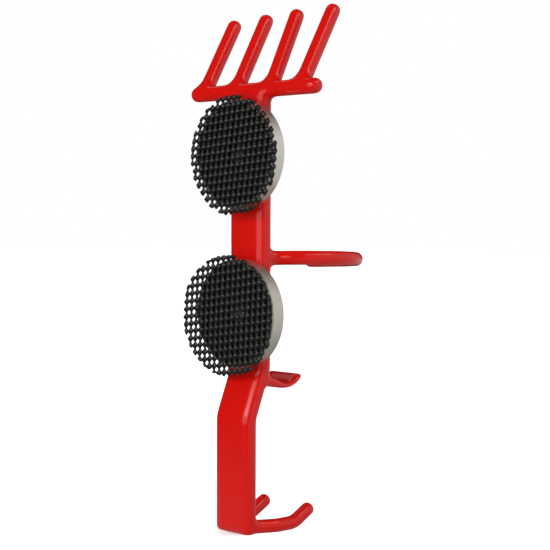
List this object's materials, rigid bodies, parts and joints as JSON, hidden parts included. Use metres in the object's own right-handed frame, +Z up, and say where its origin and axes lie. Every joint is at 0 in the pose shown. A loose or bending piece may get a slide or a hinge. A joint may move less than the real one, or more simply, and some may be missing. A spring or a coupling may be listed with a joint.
{
  "type": "magnetic tool holder",
  "caption": "Dip-coated steel strap held to a steel wall by pot magnets with mesh grip pads; it carries a peg rack, an open ring hook, a dished tongue and a fork for hanging tools.",
  "frame": {"origin": "middle of the upper grip pad's wall face", "axes": "-Y points out of the pads into the wall, +Z runs up the strap to the peg rack, +X runs along the rack bar to the side where the ring hook is closed"},
  "size_m": [0.1088, 0.1013, 0.3236],
  "materials": {
    "red_coat": "glossy red PVC dip coat over steel, soft at the edges and filleted at the joints",
    "cup_steel": "satin turned steel with fine lines round the rim",
    "ferrite": "dull dark grey pressed ferrite",
    "grip_mesh": "black foamed PVC on an open scrim, satin on the bead tops",
    "fastener_steel": "bright zinc plate"
  },
  "bodies": {
    "root": {"back_strap": "red_coat", "rack_bar": "red_coat", "rack_peg_1": "red_coat", "rack_peg_2": "red_coat", "rack_peg_3": "red_coat", "rack_peg_4": "red_coat", "ring_hook": "red_coat", "tongue": "red_coat", "fork_arm_left": "red_coat", "fork_arm_right": "red_coat", "magnet_cup_upper": "cup_steel", "magnet_cup_lower": "cup_steel", "ferrite_ring_upper": "ferrite", "ferrite_ring_lower": "ferrite", "grip_pad_upper": "grip_mesh", "grip_pad_lower": "grip_mesh", "magnet_screws": "fastener_steel", "washers": "fastener_steel", "lock_nuts": "fastener_steel"}
  },
  "joints": []
}
